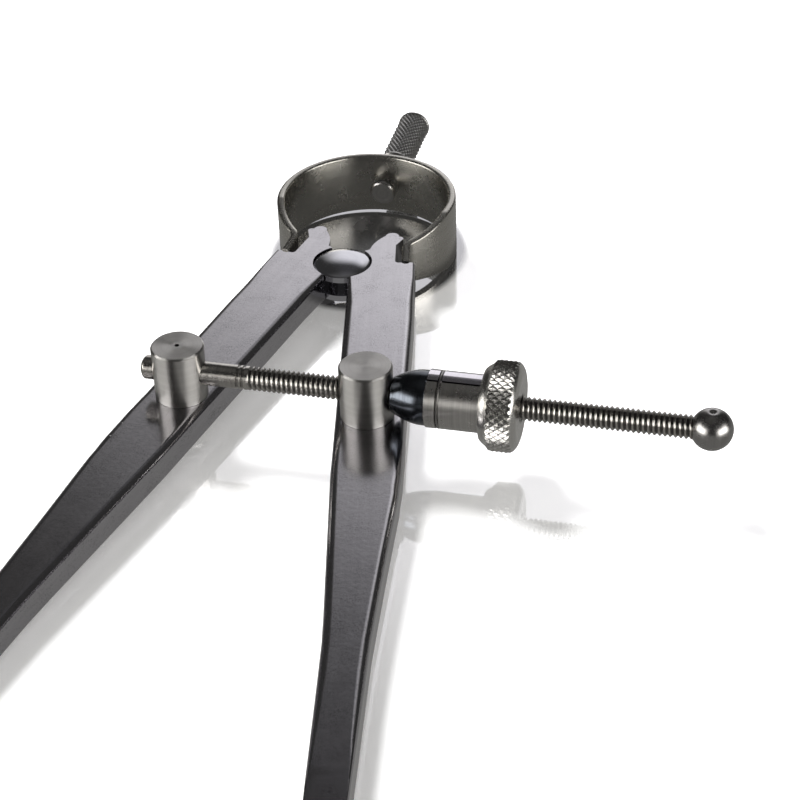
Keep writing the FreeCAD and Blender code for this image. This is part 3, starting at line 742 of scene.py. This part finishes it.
def make_table():
    """White glossy table, tilted a little so that the bow's front edge and both feet touch it. It turns
    grey where the tool shuts out the light, and dark inside the bow: painted shade in its glow and colour,
    from an occlusion test and an oval mask. Metal sees a dimmer table, with the same painted shade."""
    slope = 3.55 * MM / (152 * MM)
    below_tool = 0.03 * MM
    touch = 13.8 * MM
    size = 3.0
    corners = np.array([[(-size, -size), (-size, size)], [(size, -size), (size, size)]], float)
    heights = -slope * (corners[..., 1] - touch) - below_tool
    table = sheet_mesh("table", np.concatenate([corners, heights[..., None]], -1))
    if table.data.polygons[0].normal.z < 0:
        table.data.flip_normals()
    material = bpy.data.materials.new("white_table")
    material.use_nodes = True
    material.node_tree.nodes.clear()
    n = Nodes(material.node_tree)
    shut = n.add("ShaderNodeAmbientOcclusion", {"Distance": 0.014}, samples=12)
    path = n.add("ShaderNodeLightPath")
    where = n.add("ShaderNodeTexCoord")
    warm_white, inside_bow, flattened = (1, 0.99, 0.96, 1), (0.0, 0.0168, 0.0), (1.0, 0.87, 1.0)
    moved = n.add("ShaderNodeVectorMath", {0: where.outputs["Object"], 1: inside_bow}, operation="SUBTRACT")
    oval = n.add("ShaderNodeVectorMath", {0: moved.outputs[0], 1: flattened}, operation="MULTIPLY")
    in_bow = n.add("ShaderNodeVectorMath", {0: oval.outputs[0]}, operation="LENGTH")
    # Painted shade: an oval mask darkens the table inside the bow
    shade = n.ramp(in_bow.outputs["Value"], 0.0160, 0.0180, 0.04, 1.0, eased=True)
    # Painted shade: the occlusion test greys the table where the tool is close
    open_to = n.ramp(shut.outputs["AO"], 0.4, 0.95, 0.72, 1.0)
    open_here = n.math("MULTIPLY", shade, open_to)
    shaded_glow = n.math("MULTIPLY", open_here, 0.34)
    direct = n.add("ShaderNodeEmission", {"Color": warm_white, "Strength": shaded_glow})
    shaded_dim_glow = n.math("ADD", n.math("MULTIPLY", open_here, 0.2), 0.1)
    mirrored = n.add("ShaderNodeEmission", {"Color": warm_white, "Strength": shaded_dim_glow})
    # Painted shade: the diffuse colour goes nearly black inside the bow
    shaded_paint = n.mix(shade, (0.02, 0.02, 0.02, 1), (0.85, 0.85, 0.85, 1))
    chalk = n.add("ShaderNodeBsdfDiffuse", {"Color": shaded_paint})
    gloss = n.add("ShaderNodeBsdfGlossy", {"Color": (0.36, 0.36, 0.37, 1), "Roughness": 0.04})
    lit = n.add("ShaderNodeAddShader", {0: direct.outputs[0], 1: chalk.outputs[0]})
    lit = n.add("ShaderNodeAddShader", {0: lit.outputs[0], 1: gloss.outputs[0]})
    top = n.add("ShaderNodeMixShader", {0: path.outputs["Is Camera Ray"], 1: mirrored.outputs[0],
                                        2: lit.outputs[0]})
    n.add("ShaderNodeOutputMaterial", {"Surface": top.outputs[0]})
    table.data.materials.append(material)


def softbox(n, around, height, middle, half_width, low, high):
    """Soft-edged window of the studio: 1 within half_width of the middle angle, both in degrees, and
    between the heights low and high, which are sines of the angle above the horizon."""
    side_edge, level_edge = 9, 0.1
    off = n.math("ABSOLUTE", n.math("SUBTRACT", around, math.radians(middle)))
    wide = n.ramp(off, math.radians(half_width + side_edge), math.radians(half_width - side_edge), eased=True)
    above = n.ramp(height, low - level_edge, low + level_edge, eased=True)
    below = n.ramp(height, high + level_edge, high - level_edge, eased=True)
    return n.math("MULTIPLY", wide, n.math("MULTIPLY", above, below))


def make_world():
    """White for the camera. Metal sees a dark studio with a soft window on each side in front, a bright wall
    behind that fades upwards, and a dim ceiling light."""
    world = bpy.data.worlds.new("studio")
    bpy.context.scene.world = world
    world.use_nodes = True
    world.node_tree.nodes.clear()
    n = Nodes(world.node_tree)
    where = n.add("ShaderNodeTexCoord")
    facing = n.add("ShaderNodeVectorRotate", {"Vector": where.outputs["Generated"],
                                              "Angle": math.radians(-14.26)}, rotation_type="Z_AXIS")
    parts = n.add("ShaderNodeSeparateXYZ", {0: facing.outputs[0]})
    right, back, height = parts.outputs
    around = n.math("ARCTAN2", right, n.math("MULTIPLY", back, -1.0))
    left_window = softbox(n, around, height, -71, 27, -0.3, 0.42)
    right_window = softbox(n, around, height, 53, 27, -0.3, 0.42)
    windows = n.math("MULTIPLY", n.math("ADD", left_window, right_window), 6.4)
    behind = n.math("ARCTAN2", right, back)
    back_window = softbox(n, behind, height, 8.5, 17.5, -0.1, 2.0)
    rise = n.math("ADD", height, n.math("MULTIPLY", right, -0.25))
    wall = n.math("MULTIPLY", n.ramp(rise, 0.49, 0.70, 1.3, 0.03, eased=True), back_window)
    overhead = n.ramp(height, 0.84, 0.98, 0.05, 0.13, eased=True)
    level = n.math("ADD", overhead, n.math("ADD", windows, wall))
    tint = n.mix(back_window, (1.0, 0.985, 0.96, 1), (0.985, 0.975, 1.0, 1))
    path = n.add("ShaderNodeLightPath")
    seen = n.math("MAXIMUM", path.outputs["Is Camera Ray"], path.outputs["Is Transmission Ray"])
    direct = n.add("ShaderNodeBackground", {"Color": (1, 1, 1, 1), "Strength": 1.0})
    mirrored = n.add("ShaderNodeBackground", {"Color": tint, "Strength": level})
    ambient = n.add("ShaderNodeBackground", {"Color": (1, 1, 1, 1), "Strength": 0.25})
    soft = n.add("ShaderNodeMixShader", {0: path.outputs["Is Glossy Ray"], 1: ambient.outputs[0],
                                         2: mirrored.outputs[0]})
    final = n.add("ShaderNodeMixShader", {0: seen, 1: soft.outputs[0], 2: direct.outputs[0]})
    n.add("ShaderNodeOutputWorld", {"Surface": final.outputs[0]})


def make_sun():
    """Soft light from the upper left behind the tool, which lights the table and leaves a shadow in front of
    the left leg. Metal doesn't see it."""
    data = bpy.data.lights.new("soft_sun", "SUN")
    data.energy = 5.0
    data.angle = math.radians(18)
    lamp = bpy.data.objects.new("soft_sun", data)
    lamp.visible_glossy = False
    lamp.rotation_euler = Vector((0.75, -0.75, -1.0)).to_track_quat("-Z", "Y").to_euler()
    bpy.context.scene.collection.objects.link(lamp)


def make_camera():
    """Camera fitted to the photo: 78 mm right, 273 mm in front and 182 mm up, looking down 35 degrees."""
    yaw, pitch, roll = (math.radians(a) for a in (-14.258, -35.426, -2.024))
    forward = Vector((math.sin(yaw) * math.cos(pitch), math.cos(yaw) * math.cos(pitch), math.sin(pitch)))
    level = forward.cross(Vector((0, 0, 1))).normalized()
    upright = level.cross(forward)
    right = level * math.cos(roll) + upright * math.sin(roll)
    up = upright * math.cos(roll) - level * math.sin(roll)
    matrix = Matrix((right, up, -forward)).transposed().to_4x4()
    matrix.translation = Vector((0.07839, -0.27317, 0.18168))
    data = bpy.data.cameras.new("camera")
    focal_pixels, frame_pixels = 2011.8, 800
    data.sensor_width = 36
    data.lens = focal_pixels / frame_pixels * data.sensor_width
    data.clip_start, data.clip_end = 0.01, 20
    camera = bpy.data.objects.new("camera", data)
    camera.matrix_world = matrix
    bpy.context.scene.collection.objects.link(camera)
    bpy.context.scene.camera = camera


make_table()
make_world()
make_sun()
make_camera()

bpy.context.scene.view_settings.view_transform = "Standard"
